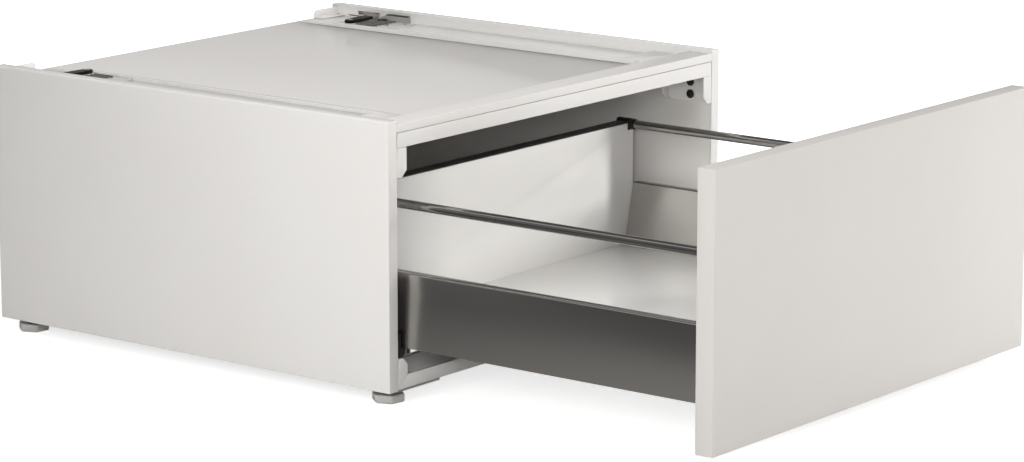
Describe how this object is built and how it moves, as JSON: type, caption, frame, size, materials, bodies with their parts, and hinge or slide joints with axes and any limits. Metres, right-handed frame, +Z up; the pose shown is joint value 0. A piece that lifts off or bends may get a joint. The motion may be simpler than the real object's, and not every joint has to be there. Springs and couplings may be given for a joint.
{
  "type": "washer pedestal drawer",
  "caption": "Low steel pedestal for a washing machine, with a wide pull-out drawer, foot trays on top, rear foot clamps and levelling feet.",
  "frame": {"origin": "middle of the footprint, drawer as pulled out in the picture, at the underside of the feet", "axes": "+Z up, the drawer opens towards -Y, +X is the right-hand side seen from the front"},
  "size_m": [0.596, 0.9866, 0.306],
  "materials": {
    "paint": "satin light grey powder coat",
    "paint_inner": "satin light grey powder coat",
    "zinc": "zinc plated",
    "black": "matt black moulding",
    "lever": "black coated steel",
    "front_board": "lacquered board, satin light grey",
    "board": "coated board, matt light grey",
    "drawer_metal": "dark titanium coloured coated steel",
    "rail_metal": "dark polished"
  },
  "bodies": {
    "cabinet": {"side_panel_left": "paint", "side_panel_right": "paint", "top_deck": "paint", "foot_tray_left": "paint", "foot_tray_right": "paint", "tray_border_left": "paint", "tray_border_right": "paint", "rear_stop_left": "paint", "rear_stop_right": "paint", "upper_front_rail": "paint", "lower_front_rail": "paint", "upper_bracket_left": "paint", "upper_bracket_right": "paint", "lower_bracket_left": "paint", "lower_bracket_right": "paint", "side_liner_left": "paint_inner", "side_liner_right": "paint_inner", "rear_panel": "paint_inner", "lower_rear_rail": "paint_inner", "clamp_base_left": "zinc", "clamp_base_right": "zinc", "clamp_wedge_left": "zinc", "clamp_wedge_right": "zinc", "foot_plate_front_left": "zinc", "foot_plate_front_right": "zinc", "foot_plate_rear_left": "zinc", "foot_plate_rear_right": "zinc", "cabinet_runner_left": "zinc", "cabinet_runner_right": "zinc", "lower_plug_left": "black", "lower_plug_right": "black", "upper_plug_left": "black", "upper_plug_right": "black", "foot_collar_front_left": "black", "foot_collar_front_right": "black", "foot_collar_rear_left": "black", "foot_collar_rear_right": "black", "runner_cap_left": "black", "runner_cap_right": "black"},
    "drawer": {"drawer_front": "front_board", "drawer_floor": "board", "drawer_back": "board", "back_edge_cap": "black", "drawer_side_left": "drawer_metal", "drawer_side_right": "drawer_metal", "gallery_rail_left": "rail_metal", "gallery_rail_right": "rail_metal", "rail_clip_left": "black", "rail_clip_right": "black", "drawer_runner_left": "zinc", "drawer_runner_right": "zinc"},
    "middle_left": {"middle_runner_left": "zinc"},
    "lever_left": {"clamp_lever_left": "lever"},
    "foot_front_left": {"foot_front_left": "zinc"},
    "foot_rear_left": {"foot_rear_left": "zinc"},
    "middle_right": {"middle_runner_right": "zinc"},
    "lever_right": {"clamp_lever_right": "lever"},
    "foot_front_right": {"foot_front_right": "zinc"},
    "foot_rear_right": {"foot_rear_right": "zinc"}
  },
  "joints": [
    {"name": "drawer_slide", "type": "slide", "parent": "cabinet", "child": "drawer", "axis": [0, -1, 0], "range_m": [-0.389, 0.0895]},
    {"name": "middle_left_slide", "type": "slide", "parent": "cabinet", "child": "middle_left", "axis": [0, -1, 0], "range_m": [-0.1945, 0.04475]},
    {"name": "middle_right_slide", "type": "slide", "parent": "cabinet", "child": "middle_right", "axis": [0, -1, 0], "range_m": [-0.1945, 0.04475]},
    {"name": "lever_left_hinge", "type": "hinge", "parent": "cabinet", "child": "lever_left", "pos_m": [-0.229, 0.41725, 0.2981], "axis": [0, 0, -1], "range_deg": [0, 85]},
    {"name": "lever_right_hinge", "type": "hinge", "parent": "cabinet", "child": "lever_right", "pos_m": [0.229, 0.41725, 0.2981], "axis": [0, 0, 1], "range_deg": [0, 85]},
    {"name": "foot_front_left_height", "type": "slide", "parent": "cabinet", "child": "foot_front_left", "axis": [0, 0, -1], "range_m": [0, 0.015]},
    {"name": "foot_front_right_height", "type": "slide", "parent": "cabinet", "child": "foot_front_right", "axis": [0, 0, -1], "range_m": [0, 0.015]},
    {"name": "foot_rear_left_height", "type": "slide", "parent": "cabinet", "child": "foot_rear_left", "axis": [0, 0, -1], "range_m": [0, 0.015]},
    {"name": "foot_rear_right_height", "type": "slide", "parent": "cabinet", "child": "foot_rear_right", "axis": [0, 0, -1], "range_m": [0, 0.015]}
  ],
  "couplings": [
    {"joint": "middle_left_slide", "follows": "drawer_slide", "ratio": 0.5},
    {"joint": "middle_right_slide", "follows": "drawer_slide", "ratio": 0.5}
  ]
}
